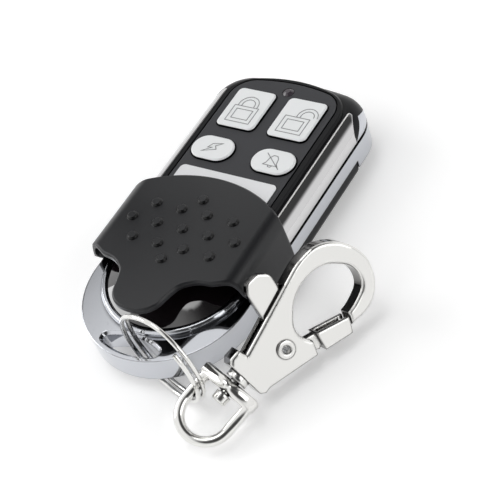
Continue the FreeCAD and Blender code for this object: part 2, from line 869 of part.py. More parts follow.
def make_slider():
    low = tip_y - 2
    length = body_length
    outer = prism(slider_section(0.0, slider_flank_low_z, low), length, Vector(0, 1, 0))
    inner = prism(slider_section(slider_wall, slider_flank_low_z - 2, low - 1), length + 2, Vector(0, 1, 0))
    plan = slider_plan(0, slider_top_z + 1)
    outer = outer.common(plan).common(flank_profile())
    front = [edge for edge in outer.Edges if slider_front_edge(edge)]
    outer = outer.makeChamfer(slider_edge, front)
    rear = [edge for edge in outer.Edges if slider_rear_edge(edge)]
    outer = outer.makeChamfer(slider_edge, rear)
    cover = outer.cut(inner)
    rib_z0 = groove_low_z + slide_gap
    rib_z1 = groove_high_z - slide_gap
    wall_x = slider_half_width - slider_wall
    for side in (-1, 1):
        x0 = side * (half_width - lip_inset + slide_gap)
        x1 = side * (wall_x + weld)
        low_x, high_x = min(x0, x1), max(x0, x1)
        rib = box(low_x, slider_rib_low_y, rib_z0, high_x, slider_rib_high_y, rib_z1)
        cover = cover.fuse(rib)
    return cover.fuse(bumps()).removeSplitter()


def slider_front_edge(edge):
    bounds = edge.BoundBox
    if bounds.ZMax < slider_flank_low_z + 1e-3:
        return False
    return edge.CenterOfMass.y > slider_front_y - 11.0 and bounds.YLength < 2 * slider_front_corner


def slider_rear_edge(edge):
    bounds = edge.BoundBox
    middle = edge.CenterOfMass
    if bounds.XLength < 0.1 or bounds.YLength > 15.0:
        return False
    return middle.y < slider_rib_low_y and middle.z > slider_top_z - 3.0


# Many-sided grip button with a bevelled top
def button(x, y):
    foot = Vector(x, y, slider_top_z - weld)
    outline = many_sided(bump_radius, bump_sides, foot, Vector(0, 0, 1))
    solid = Part.Face(outline).extrude(Vector(0, 0, bump_height + weld))
    top = edges_where(solid, lambda item: on_level(item, slider_top_z + bump_height))
    return solid.makeChamfer(bump_edge, top)


def bumps():
    rows = ((1, 2), (4, 1), (5, 0), (4, -1), (1, -2))
    solids = []
    for count, row in rows:
        y = bump_row_y + row * bump_pitch_y
        if abs(row) == 2:
            y = bump_row_y + row / 2 * bump_single_reach
        for index in range(count):
            x = (index - (count - 1) / 2) * bump_pitch_x
            solids.append(button(x, y))
    return Part.makeCompound(solids)


# Closed outline with equal sides, for round wire
def many_sided(radius, sides, centre, direction):
    first = direction.cross(Vector(0, 0, 1))
    if first.Length < 0.5:
        first = direction.cross(Vector(0, 1, 0))
    first.normalize()
    second = direction.cross(first).normalize()
    points = []
    for index in range(sides + 1):
        angle = 2 * math.pi * (index % sides + 0.5) / sides
        points.append(centre + (first * math.cos(angle) + second * math.sin(angle)) * radius)
    return Part.makePolygon(points)


# Split ring: one wire in two flat coils, stepping across over a quarter turn
def ring_point(turn_degrees, side):
    angle = math.radians(turn_degrees + ring_step_angle)
    radial = ring_along * math.cos(angle) + Vector(0, 0, math.sin(angle))
    return ring_centre + radial * ring_mean_radius + ring_normal * (side * ring_pitch / 2)


def ring_direction(turn_degrees):
    angle = math.radians(turn_degrees + ring_step_angle)
    return ring_along * -math.sin(angle) + Vector(0, 0, math.cos(angle))


# Stretch of one flat coil between two angles
def ring_arc(start, finish, side):
    middle = (start + finish) / 2
    return arc(ring_point(start, side), ring_point(middle, side), ring_point(finish, side))


def make_ring():
    end = 45.0 + ring_end_clearance
    edges = [ring_arc(end, 90.0, -1), ring_arc(90.0, 180.0, -1), ring_arc(180.0, 315.0, -1)]
    edges += biarc(ring_point(-45.0, -1), ring_direction(-45.0), ring_point(45.0, 1), ring_direction(45.0))
    edges += [ring_arc(45.0, 180.0, 1), ring_arc(180.0, 270.0, 1)]
    edges.append(ring_arc(270.0, 315.0 - ring_end_clearance, 1))
    path = Part.Wire(edges)
    start = ring_point(end, -1)
    section = many_sided(ring_wire / 2, ring_sides, start, ring_direction(end))
    tube = path.makePipeShell([section], True, False)
    report_ring(path)
    return tube


# Least distance between stretches of the wire that are more than half a turn apart
def report_ring(path):
    step = 0.25
    points = path.discretize(Distance=step)
    apart = int(math.pi * ring_mean_radius / step)
    least = min((p - q).Length for i, p in enumerate(points) for q in points[i + apart:])
    turns = path.Length / (2 * math.pi * ring_mean_radius)
    print("split_ring gap to itself", round(least - ring_wire, 3), "turns", round(turns, 2))


# The clasp is drawn flat, with its long axis on X, and then laid in place
def lay(shape, roll):
    turn = Rotation(Vector(0, 0, 1), clasp_heading)
    turn = turn.multiply(Rotation(Vector(0, 1, 0), -clasp_rise))
    turn = turn.multiply(Rotation(Vector(1, 0, 0), roll))
    placed = shape.copy()
    placed.Placement = Placement(swivel_point, turn)
    return placed


def lay_vector(vector, roll):
    turn = Rotation(Vector(0, 0, 1), clasp_heading)
    turn = turn.multiply(Rotation(Vector(0, 1, 0), -clasp_rise))
    turn = turn.multiply(Rotation(Vector(1, 0, 0), roll))
    return turn.multVec(vector)


def make_eye():
    w = eye_half_width
    u = -eye_straight
    a = Vector(0, w, 0)
    b = Vector(u, w, 0)
    c = Vector(u - w, 0, 0)
    d = Vector(u, -w, 0)
    e = Vector(0, -w, 0)
    radius = eye_wire / 2
    path = Part.Wire([line(a, b), arc(b, c, d), line(d, e)])
    ring = many_sided(radius, ring_sides, a, Vector(1, 0, 0))
    loop = path.makePipeShell([ring], True, False)
    half = eye_base_half
    base = box(-half, -w - radius, -radius * 1.15, half, w + radius, radius * 1.15)
    base = base.makeChamfer(eye_base_edge, edges_where(base, lambda item: item.BoundBox.XLength < half))
    eye = base.fuse(loop)
    bore = rod(post_radius + fit_gap / 2, 10, Vector(-5, 0, 0), Vector(1, 0, 0))
    return eye.cut(bore).removeSplitter()


def make_post():
    shank = rod(post_radius, post_end_u + eye_base_half + link_gap + 0.2,
                Vector(-eye_base_half - link_gap - 0.2, 0, 0), Vector(1, 0, 0))
    head_start = -eye_base_half - link_gap - post_head_length
    head = rod(post_head_radius, post_head_length, Vector(head_start, 0, 0), Vector(1, 0, 0))
    end = edges_where(head, lambda item: abs(item.BoundBox.XMax - head_start) < 1e-6)
    head = head.makeChamfer(post_head_edge, end)
    barrel = rod(barrel_radius, barrel_length, Vector(eye_base_half + link_gap, 0, 0), Vector(1, 0, 0))
    return join([shank, head, barrel])


def flat(points):
    corners = [Vector(point[0], point[1], 0) for point in points]
    return [line(a, b) for a, b in zip(corners, corners[1:])]


# Points given as parts of the clasp's reach
def scaled(points):
    return [(point[0] * clasp_reach, point[1] * clasp_reach) + tuple(point[2:]) for point in points]


def clasp_outline():
    base_u = eye_base_half + link_gap + barrel_length
    opening = scaled(hook_opening)
    outer = scaled(hook_outside)
    low = [(base_u + 0.9, -5.4)] + scaled([(0.1457, -0.1485), (0.4426, -0.2325)]) + [opening[0]]
    edges = flat(low) + chain(opening) + flat([opening[-1], outer[0]]) + chain(outer)
    edges += flat([outer[-1], (6.0, 4.4), (base_u + 0.9, 4.4), (base_u, 3.6), (base_u, -4.6), low[0]])
    return edges


def slot_outline():
    inner = scaled([(0.521, -0.308), (0.521, -0.056), (0.454, -0.045), (0.426, -0.011), (0.515, 0.09)])
    inner += scaled([(0.577, 0.132), (0.577, 0.252)])
    return [(slot_end_u, inner[0][1])] + inner + [(slot_end_u, inner[-1][1])]


def make_clasp():
    t = clasp_thickness
    lower = Vector(0, 0, -t / 2)
    body = Part.Face(Part.Wire(clasp_outline())).extrude(Vector(0, 0, t))
    body.translate(lower)
    level = [edge for edge in body.Edges if abs(abs(edge.CenterOfMass.z) - t / 2) < 1e-6]
    round_edges = [edge for edge in level if edge.CenterOfMass.x > 17.5 or edge.CenterOfMass.y > 2.5]
    body = body.makeChamfer(clasp_edge, round_edges)
    room = t - 2 * clasp_cheek
    slot = polygon([Vector(u, w, -room / 2) for u, w in slot_outline()], room)
    body = body.cut(slot)
    bore = rod(rivet_radius + fit_gap / 2, t + 2, Vector(rivet_u, rivet_w, -t / 2 - 1), Vector(0, 0, 1))
    socket = rod(post_radius, post_end_u, Vector(0, 0, 0), Vector(1, 0, 0))
    return body.cut(bore).cut(socket)


def make_lever():
    t = lever_thickness
    pivot = Vector(rivet_u, rivet_w, 0)
    hub = rod(lever_hub_radius, t, Vector(rivet_u, rivet_w, -t / 2), Vector(0, 0, 1))
    arm = polygon([Vector(u, w, -t / 2) for u, w in scaled(thumb_tab)], t)
    tip = edges_where(arm, lambda item: vertical(item) and item.CenterOfMass.y > clasp_reach / 4)
    arm = arm.makeFillet(tab_corner, tip)
    root = polygon([Vector(u, w, -t / 2) for u, w in scaled(gate_root)], t)
    wide = clasp_thickness
    channel = polygon([Vector(u, w, -wide / 2) for u, w in scaled(gate_side)], wide)
    reach = rod(gate_tip_radius, wide, pivot - Vector(0, 0, wide / 2), Vector(0, 0, 1))
    channel = channel.common(reach)
    room = wide - 2 * gate_wall
    channel = channel.cut(polygon([Vector(u, w, -room / 2) for u, w in scaled(gate_trough)], room))
    lever = join([hub, arm, root, channel])
    bore = rod(rivet_radius + fit_gap / 2, t + 2, pivot - Vector(0, 0, t / 2 + 1), Vector(0, 0, 1))
    web_top = pivot - Vector(0, 0, t / 2 - lever_hub_web)
    coil_room = rod(lever_hub_radius + fit_gap, t, web_top, Vector(0, 0, 1))
    return lever.cut(bore).cut(coil_room).removeSplitter()


def make_rivet():
    t = clasp_thickness
    bottom = Vector(rivet_u, rivet_w, -t / 2 - rivet_flange)
    rivet = rod(rivet_radius, t + 2 * rivet_flange, bottom, Vector(0, 0, 1))
    for z in (-t / 2 - rivet_flange, t / 2):
        flange = rod(rivet_flange_radius, rivet_flange, Vector(rivet_u, rivet_w, z), Vector(0, 0, 1))
        rivet = rivet.fuse(flange)
    bore = rod(rivet_bore, t + 2, Vector(rivet_u, rivet_w, -t / 2 - 1), Vector(0, 0, 1))
    return rivet.cut(bore).removeSplitter()


# Closed coil round the rivet with a leg that stands on the slot's end wall
def make_lever_spring():
    z = -lever_thickness / 2 + lever_hub_web + fit_gap
    coil = rod(spring_radius, spring_height, Vector(rivet_u, rivet_w, z), Vector(0, 0, 1))
    coil = coil.cut(rod(rivet_radius + fit_gap / 2, 4, Vector(rivet_u, rivet_w, -2), Vector(0, 0, 1)))
    leg_w = rivet_w - spring_radius + spring_wire / 2
    leg = rod(spring_wire / 2, rivet_u - slot_end_u, Vector(slot_end_u, leg_w, z + spring_height / 2),
              Vector(1, 0, 0))
    return coil.fuse(leg).removeSplitter()


keys = [
    ("lock", -big_key_x, big_key_y, big_key_width, big_key_length, big_key_corner),
    ("unlock", big_key_x, big_key_y, big_key_width, big_key_length, big_key_corner),
    ("bolt", -small_key_x, small_key_y, small_key_width, small_key_length, small_key_length / 2),
    ("mute", small_key_x, small_key_y, small_key_width, small_key_length, small_key_length / 2),
]

tongue_stations = [
    (0.6633, 0.0, 188), (0.4824, 0.0748, 208), (0.3417, 0.3271, 252), (0.2965, 0.6262, 258),
    (0.1809, 0.9252, 212), (0.0, 1.0, 180),
]
hook_opening = [
    (0.4762, -0.1569, 120), (0.4482, -0.0728, 88), (0.5266, 0.0448, 42), (0.6779, 0.1036, 2),
    (0.8459, 0.042, -48), (0.9076, -0.0728, -92), (0.8403, -0.1821, -160), (0.7171, -0.2073, 178),
]
hook_outside = [
    (0.6891, -0.2689, -6), (0.8235, -0.2773, 8), (0.9608, -0.1821, 58), (1.0, -0.056, 92),
    (0.93, 0.1261, 133), (0.7955, 0.1989, 174), (0.6611, 0.1905, 193), (0.1793, 0.0728, 194),
]
thumb_tab = [
    (0.3081, -0.028), (0.3754, 0.1176), (0.409, 0.2801), (0.4482, 0.3221), (0.521, 0.3165),
    (0.5714, 0.2661), (0.549, 0.1429), (0.4034, 0.0), (0.3922, -0.084),
]
gate_root = [(0.3473, -0.1373), (0.4762, -0.2325), (0.5322, -0.2129), (0.521, -0.1513), (0.3978, -0.1064)]
gate_side = [(0.493, -0.2493), (0.6331, -0.2941), (0.7283, -0.3193), (0.7283, -0.2325), (0.5182, -0.1457)]
gate_trough = [(0.5294, -0.2129), (0.7563, -0.2913), (0.7563, -0.1401), (0.5294, -0.1401)]

ring_along = Vector(math.cos(math.radians(ring_heading)), math.sin(math.radians(ring_heading)), 0)
ring_normal = Vector(math.sin(math.radians(ring_heading)), -math.cos(math.radians(ring_heading)), 0)
ring_left = Vector(ring_left_x, tip_y + ring_over_tip, ring_mean_radius + ring_wire / 2 + ring_table_gap)
ring_centre = ring_left + ring_along * ring_mean_radius
contact = math.radians(ring_contact_angle)
ring_radial = ring_along * math.cos(contact) + Vector(0, 0, math.sin(contact))
link_reach = ring_mean_radius - ring_wire / 2 - eye_wire / 2 - link_gap
link_point = ring_centre + ring_radial * link_reach
eye_offset = lay_vector(Vector(-eye_link_along, eye_half_width, 0), eye_roll)
swivel_point = link_point - eye_offset

shoulder_outer = shoulder(0.0)
shoulder_inner = shoulder(rail_thickness)
rail_right = make_rail(shoulder_outer, shoulder_inner)
rail_left = mirror_x(rail_right)

nodes["rear_frame"] = make_frame()
nodes["top_insert"] = make_insert()
nodes["back_cover"] = make_cover()
nodes["side_rail_right"] = rail_right
nodes["side_rail_left"] = rail_left
nodes["front_shell"] = make_shell(shoulder_outer, [rail_right, rail_left])
nodes["key_panel"] = make_panel()
nodes["trim_plate"] = trim_prism(face_z - trim_thickness, face_z + trim_proud)
for key in keys:
    nodes["key_" + key[0]] = make_key(key)
    plunger = square_post(plunger_half, plunger_foot_z + key_travel, plunger_top_z, key[1], key[2])
    nodes["plunger_" + key[0]] = plunger
nodes["switch_bodies"] = make_switches()
nodes["circuit_board"] = make_board()
nodes["code_chip"] = make_chip(0.0, board_middle_y - 1.0, 3.9, 8.7, 1.5, 7, 1.27)
nodes["memory_chip"] = make_chip(-7.0, board_end_y - 7.2, 3.9, 4.9, 1.4, 4, 1.27)
nodes["chip_resistors"] = make_small_parts()
nodes["resonator_can"] = make_resonator()
nodes["aerial_loop"] = make_aerial()
nodes["status_lamp"] = make_lamp()
nodes["battery_cell"] = make_cell()
nodes["contact_plus"] = make_contact(1)
nodes["contact_minus"] = make_contact(-1)
nodes["case_screws"] = make_screws()
nodes["end_bezel"] = make_bezel()
nodes["end_dome"] = make_dome()
nodes["slider_cover"] = make_slider()
nodes["split_ring"] = make_ring()
nodes["swivel_eye"] = lay(make_eye(), eye_roll)
nodes["swivel_post"] = lay(make_post(), clasp_roll)
nodes["clasp_body"] = lay(make_clasp(), clasp_roll)
nodes["clasp_lever"] = lay(make_lever(), clasp_roll)
nodes["lever_rivet"] = lay(make_rivet(), clasp_roll)
nodes["lever_spring"] = lay(make_lever_spring(), clasp_roll)

for name, shape in nodes.items():
    shape.exportStep("parts/" + name + ".step")
    print(name, len(shape.Solids), shape.isValid(), round(shape.Volume, 1))

print("ring centre", ring_centre, "swivel", swivel_point, "link", link_point)
print("clasp axis", lay_vector(Vector(1, 0, 0), 0.0))
print("clasp normal", lay_vector(Vector(0, 0, 1), clasp_roll))
rivet_point = swivel_point + lay_vector(Vector(rivet_u, rivet_w, 0), clasp_roll)
print("rivet", rivet_point)
print("ring tangent", ring_along * -math.sin(contact) + Vector(0, 0, math.cos(contact)))
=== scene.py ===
import json
import math

import bmesh
import bpy
from mathutils import Matrix, Vector


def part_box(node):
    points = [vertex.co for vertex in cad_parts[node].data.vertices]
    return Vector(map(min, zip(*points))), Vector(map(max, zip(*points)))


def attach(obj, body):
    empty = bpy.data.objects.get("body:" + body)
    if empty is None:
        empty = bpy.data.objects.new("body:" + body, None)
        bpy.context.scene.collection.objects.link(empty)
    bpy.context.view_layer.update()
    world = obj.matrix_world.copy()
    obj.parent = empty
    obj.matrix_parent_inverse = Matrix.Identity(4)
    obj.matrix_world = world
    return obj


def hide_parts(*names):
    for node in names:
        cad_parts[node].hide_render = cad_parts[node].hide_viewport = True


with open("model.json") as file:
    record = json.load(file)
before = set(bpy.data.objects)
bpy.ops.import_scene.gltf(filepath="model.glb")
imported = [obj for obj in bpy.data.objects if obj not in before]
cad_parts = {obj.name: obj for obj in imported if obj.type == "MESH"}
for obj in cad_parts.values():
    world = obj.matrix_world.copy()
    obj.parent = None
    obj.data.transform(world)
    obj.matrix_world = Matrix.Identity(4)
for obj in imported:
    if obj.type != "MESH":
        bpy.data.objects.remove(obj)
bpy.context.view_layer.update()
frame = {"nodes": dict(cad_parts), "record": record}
nodes = frame["nodes"]
record = frame["record"]

MM = 0.001

# Camera: place in millimetres, axes and lens
CAMERA_PLACE = (166.456, -153.316, 223.805)
CAMERA_RIGHT = (0.828, 0.494, -0.265)
CAMERA_DOWN = (0.223, -0.723, -0.654)
FOCAL_PIXELS = 1525.68
IMAGE_HEIGHT = 500
SENSOR = 36.0
CAMERA_NEAR = 0.01

# Copies of the nodes: welding, joining of flat faces and smooth shading
WELD = 2e-6
FLAT_ANGLE = math.radians(0.8)
SMOOTH_ANGLE = math.radians(32)
WIRE_ANGLE = math.radians(70)
FLAT_FACE_WEIGHT = 100

# Faces that get a second, darker finish as painted shade: sides of the keys, of the grip buttons and of the clasp
KEY_SIDE_SLOPE = 0.3
GRIP_FOOT_Z = 0.01555
GRIP_SLOPE = 0.9
CLASP_NORMAL = Vector((0.7956, -0.3651, 0.4836))
CLASP_SLOPE = 0.35

# Chromed corner lips in millimetres: the ends and the tip of their edge, a point inside the corner, and
# how far out, back and up a lip begins
LIP_POINTS = ((18.4, 28.0, 9.3), (17.0, 31.2, 11.25), (16.03, 34.81, 9.5))
LIP_HEART = (12.0, 28.0, 8.4)
LIP_BEGIN = (14.0, 27.0, 8.3)

# Where the painted highlight along the edge of the right rail ends, in metres
RAIL_EDGE_X = 0.01555

# Noise in the materials, in cells a metre
MOULD_GRAIN = 2600.0
MOULD_CLOUDS = 90.0
PLATING_WAVES = 60.0
HANDLING_MARKS = 900.0
COAT_GRAIN = 3200.0
COAT_CLOUDS = 120.0
INNER_GRAIN = 1500.0

# Radius of the coat's and of the inner parts' corners, and depth of their grain, in metres
COAT_EDGE = 0.0002
INNER_EDGE = 0.0001
FINE_GRAIN = 0.00001

# Rounded corners and painted shade in crevices in the materials: rays, shading limits and reach in metres
RAYS = 8
CORNER_LIMITS = (0.01, 0.22)
PAINTED_SHADE_LIMITS = (0.12, 0.75)
PAINTED_SHADE_REACH = 0.0012
# Dark colours painted into crevices as shade, for plastic, plating and the silver coat
PLASTIC_PAINTED_SHADE = (0.002, 0.002, 0.002)
METAL_PAINTED_SHADE = (0.03, 0.028, 0.026)
COAT_PAINTED_SHADE = (0.02, 0.02, 0.02)

# Painted shade along the corners of plated pieces, standing in for dark reflections at their edges, and the paler
# corners of the silver coat
EDGE_SHADE = (0.05, 0.048, 0.046)
COAT_RUBBED = (0.9, 0.9, 0.9)

# Doming of the sliding cover's top, and its middle, in metres
SLIDER_CROWN = 3.0
SLIDER_MIDDLE_Y = 0.012

# Key marks in millimetres from their key's middle, and the section of their line
MARK_WIDTH = 0.2
MARK_HEIGHT = 0.07
MARK_SUNK = 0.03
MARK_SECTION = ((-0.5, -MARK_SUNK), (-0.25, MARK_HEIGHT), (0.25, MARK_HEIGHT), (0.5, -MARK_SUNK))
SHARPEST_MITRE = 0.5
LOCK_OUTER = ((-2.95, -4.3), (3.0, -4.3), (3.0, 0.35), (-2.95, 0.35))
LOCK_INNER = ((-1.95, -3.35), (2.05, -3.35), (2.05, -0.55), (-1.95, -0.55))
LOCK_TOP_Y = 0.35
SHACKLE_Y = 0.95
SHACKLE_RADII = (2.35, 1.5)
SHACKLE_STEP = 15
SHUT_SHACKLE_X = 0.1
OPEN_SHACKLE_X = 2.0
BOLT = ((1.95, 1.5), (-0.35, 0.95), (-1.05, -0.3), (0.0, -0.1), (-1.95, -1.6), (1.15, -0.4), (0.5, 0.45))
BELL = ((-1.75, -1.35), (1.75, -1.35), (1.25, -0.75), (1.0, 0.65), (0.45, 1.4), (-0.45, 1.4), (-1.0, 0.65),
        (-1.25, -0.75))
BELL_CLAPPER = ((-0.5, -1.35), (-0.3, -1.8), (0.3, -1.8), (0.5, -1.35))
BELL_BAR = ((-2.2, 1.75), (2.3, -1.95))

# Studio: floor, soft boxes, and the room's brightness with its dark patches and its window, which
# are given as a direction and the cosines where they begin and where they are full
FLOOR_REACH = 8.0
FLOOR_GLOW = 0.26
WHITE = (1.0, 1.0, 1.0)
FLOOR_COLOUR = (0.9, 0.9, 0.9)
SOFT_BOX = (0.4, 0.3)
LEFT_BOX_PLACE = (-0.55, -0.1, 0.35)
LEFT_BOX_POWER = 1.2
RIGHT_BOX_PLACE = (0.5, 0.0, 0.3)
RIGHT_BOX_POWER = 0.6
ROOM_LEVEL = 1.02
DARK_LEVEL = 0.07
WINDOW_LEVEL = 2.7
CEILING_PATCH = ((0.22, 0.35, 0.9), 0.78, 0.95)
FRONT_PATCH = ((0.52, -0.48, 0.7), 0.76, 0.92)
BACK_PATCH = ((-0.75, 0.42, 0.5), 0.956, 0.984)
WINDOW = ((-0.19, 0.13, 0.966), 0.977, 0.984)


# A socket with arithmetic, so that shader maths reads as plain expressions
class Wire:
    def __init__(self, tree, socket):
        self.tree = tree
        self.socket = socket

    def operate(self, kind, first, second):
        node = self.tree.node("ShaderNodeMath", {"operation": kind}, {0: first, 1: second})
        return self.tree.out(node)

    def __add__(self, other):
        return self.operate("ADD", self, other)

    def __radd__(self, other):
        return self.operate("ADD", other, self)

    def __sub__(self, other):
        return self.operate("SUBTRACT", self, other)

    def __rsub__(self, other):
        return self.operate("SUBTRACT", other, self)

    def __mul__(self, other):
        return self.operate("MULTIPLY", self, other)

    def __rmul__(self, other):
        return self.operate("MULTIPLY", other, self)

    # Soft step from 0 at low to 1 at high
    def smooth(self, low, high):
        node = self.tree.node("ShaderNodeMapRange", {"interpolation_type": "SMOOTHSTEP"},
                              {"Value": self, "From Min": low, "From Max": high})
        return self.tree.out(node, "Result")


# The node tree of a material or of the world
class Tree:
    def __init__(self, owner, shader):
        owner.use_nodes = True
        self.nodes = owner.node_tree.nodes
        self.links = owner.node_tree.links
        self.shader = self.nodes[shader]

    def put(self, socket, value):
        if isinstance(value, Wire):
            self.links.new(value.socket, socket)
        elif socket.type == "RGBA":
            socket.default_value = (*value, 1.0)
        else:
            socket.default_value = value

    def node(self, kind, settings=None, values=None):
        node = self.nodes.new(kind)
        for key, value in (settings or {}).items():
            setattr(node, key, value)
        for key, value in (values or {}).items():
            self.put(node.inputs[key], value)
        return node

    def out(self, node, name=0):
        return Wire(self, node.outputs[name])

    def coordinates(self, kind):
        return self.out(self.node("ShaderNodeTexCoord"), kind)

    def noise(self, scale, detail=3.0, rough=0.5):
        values = {"Vector": self.coordinates("Object"), "Scale": scale, "Detail": detail, "Roughness": rough}
        return self.out(self.node("ShaderNodeTexNoise", values=values), "Fac")

    def mix(self, factor, first, second):
        return self.out(self.node("ShaderNodeMix", {"data_type": "RGBA"}, {0: factor, 6: first, 7: second}), 2)

    def dot(self, first, second):
        node = self.node("ShaderNodeVectorMath", {"operation": "DOT_PRODUCT"}, {0: first, 1: second})
        return self.out(node, "Value")

    # Normal with corners rounded to a radius
    def rounded(self, radius):
        return self.out(self.node("ShaderNodeBevel", {"samples": RAYS}, {"Radius": radius}))

    # 1 on a corner, 0 on a face
    def corner(self, rounded):
        flat = self.out(self.node("ShaderNodeNewGeometry"), "Normal")
        return (1.0 - self.dot(rounded, flat)).smooth(*CORNER_LIMITS)

    # 1 in a narrow gap, 0 in the open: where shade is painted into crevices
    def painted_crevice_shade(self, distance):
        node = self.node("ShaderNodeAmbientOcclusion", {"samples": RAYS}, {"Distance": distance})
        return (1.0 - self.out(node, "AO")).smooth(*PAINTED_SHADE_LIMITS)

    def bump(self, height, normal, strength=1.0, distance=1.0):
        values = {"Height": height, "Normal": normal, "Strength": strength, "Distance": distance}
        return self.out(self.node("ShaderNodeBump", values=values))

    # Faint doming of a moulded face, as a slope that grows with the distance from its middle
    def crown(self, bend, normal):
        if not bend:
            return normal
        parts = self.node("ShaderNodeSeparateXYZ", values={0: self.coordinates("Object")})
        x, y = self.out(parts, "X"), self.out(parts, "Y") + SLIDER_MIDDLE_Y
        return self.bump((x * x + y * y) * -bend, normal)

    def finish(self, **values):
        for key, value in values.items():
            self.put(self.shader.inputs[key.replace("_", " ")], value)


def new_material(name):
    material = bpy.data.materials.new(name)
    return material, Tree(material, "Principled BSDF")


def dim(colour, share):
    return tuple(part * share for part in colour)


# Moulded plastic with grain, uneven gloss, paler rubbed edges and painted shade in its crevices
def moulded_plastic(name, colour, worn_colour, roughness, grain, edge=0.00015, coat=0.0, gloss=0.4, crown=0.0):
    material, tree = new_material(name)
    fine = tree.noise(MOULD_GRAIN, detail=4.0, rough=0.6)
    broad = tree.noise(MOULD_CLOUDS)
    rounded = tree.rounded(edge)
    rubbed = tree.corner(rounded) * broad.smooth(0.35, 0.65)
    base = tree.mix(broad, dim(colour, 0.8), colour)
    base = tree.mix(rubbed * 0.55, base, worn_colour)
    # Painted shade: the colour turns near-black in narrow gaps, where shadow falls
    base = tree.mix(tree.painted_crevice_shade(PAINTED_SHADE_REACH), base, PLASTIC_PAINTED_SHADE)
    rough = roughness + (broad - 0.5) * 0.12 + (fine - 0.5) * 0.08 - rubbed * 0.06
    normal = tree.bump(fine, tree.crown(crown, rounded), strength=0.35, distance=grain)
    tree.finish(Base_Color=base, Roughness=rough, Coat_Weight=coat, Specular_IOR_Level=gloss, Normal=normal)
    return material


# Bright plating: nearly smooth, with faint waves, handling marks, softened corners, and painted shade along its
# corners and in its crevices
def plated_metal(name, colour, roughness, wave, edge, painted_edge_shade=0.0):
    material, tree = new_material(name)
    broad = tree.noise(PLATING_WAVES, detail=2.0)
    marks = tree.noise(HANDLING_MARKS, detail=4.0, rough=0.65)
    rounded = tree.rounded(edge)
    base = tree.mix(broad, dim(colour, 0.94), colour)
    base = tree.mix(marks.smooth(0.6, 0.8) * 0.2, base, dim(colour, 0.8))
    # Painted shade: the corners turn dark, standing in for dark reflections along the edges
    base = tree.mix(tree.corner(rounded) * painted_edge_shade, base, EDGE_SHADE)
    # Painted shade: the plating turns dark in narrow gaps, where shadow falls
    base = tree.mix(tree.painted_crevice_shade(PAINTED_SHADE_REACH), base, METAL_PAINTED_SHADE)
    rough = roughness + (broad - 0.5) * 0.05 + marks.smooth(0.55, 0.8) * 0.1
    normal = tree.bump(broad, rounded, strength=0.2, distance=wave)
    tree.finish(Base_Color=base, Roughness=rough, Metallic=1.0, Normal=normal)
    return material


# Satin silver coat of the keys and the trim, with painted shade in its crevices
def silver_coat(name, colour, roughness, metallic):
    material, tree = new_material(name)
    fine = tree.noise(COAT_GRAIN, rough=0.6)
    broad = tree.noise(COAT_CLOUDS, detail=2.0)
    rounded = tree.rounded(COAT_EDGE)
    base = tree.mix(broad, dim(colour, 0.95), colour)
    base = tree.mix(tree.corner(rounded) * 0.35, base, COAT_RUBBED)
    # Painted shade: the coat turns dark in narrow gaps, where shadow falls
    base = tree.mix(tree.painted_crevice_shade(0.5 * PAINTED_SHADE_REACH), base, COAT_PAINTED_SHADE)
    rough = roughness + (fine - 0.5) * 0.12
    normal = tree.bump(fine, rounded, strength=0.3, distance=FINE_GRAIN)
    tree.finish(Base_Color=base, Roughness=rough, Metallic=metallic, Normal=normal)
    return material


# Plain grained finish of what lies inside the case
def inner_part(name, colour, roughness, metallic=0.0):
    material, tree = new_material(name)
    fine = tree.noise(INNER_GRAIN)
    base = tree.mix(fine, dim(colour, 0.8), colour)
    rough = roughness + (fine - 0.5) * 0.15
    normal = tree.bump(fine, tree.rounded(INNER_EDGE), strength=0.2, distance=FINE_GRAIN)
    tree.finish(Base_Color=base, Roughness=rough, Metallic=metallic, Normal=normal)
    return material


# Finishes that more than one slot shares, those of the marks, and darker or paler copies that paint shade on side
# faces and a highlight on the rail's edge
chip_black = inner_part("chip_black", (0.02, 0.02, 0.02), roughness=0.6)
tin = inner_part("tin", (0.6, 0.6, 0.58), roughness=0.35, metallic=1.0)
# Painted shade: a darker nickel for the clasp's side walls
painted_shade_nickel = plated_metal("painted_shade_nickel", (0.22, 0.215, 0.21), roughness=0.1, wave=0.0001, edge=0.0004, painted_edge_shade=0.8)
# Painted shade: near-black for the sides of the grip buttons, standing in for their shading
painted_shade_grip = moulded_plastic("painted_shade_grip", (0.003, 0.003, 0.0035), (0.02, 0.02, 0.02), roughness=0.3, grain=0.00001,
                             edge=0.0001, gloss=0.3)
# Painted highlight: a pale coat for the inner edge of the right rail only
painted_highlight_edge = silver_coat("painted_highlight_edge", (0.95, 0.94, 0.92), roughness=0.5, metallic=0.3)
# Painted shade: dark grey for the raised key marks, standing in for the shading of the embossing
mark_painted_shade = silver_coat("mark_painted_shade", (0.2, 0.205, 0.21), roughness=0.45, metallic=0.2)

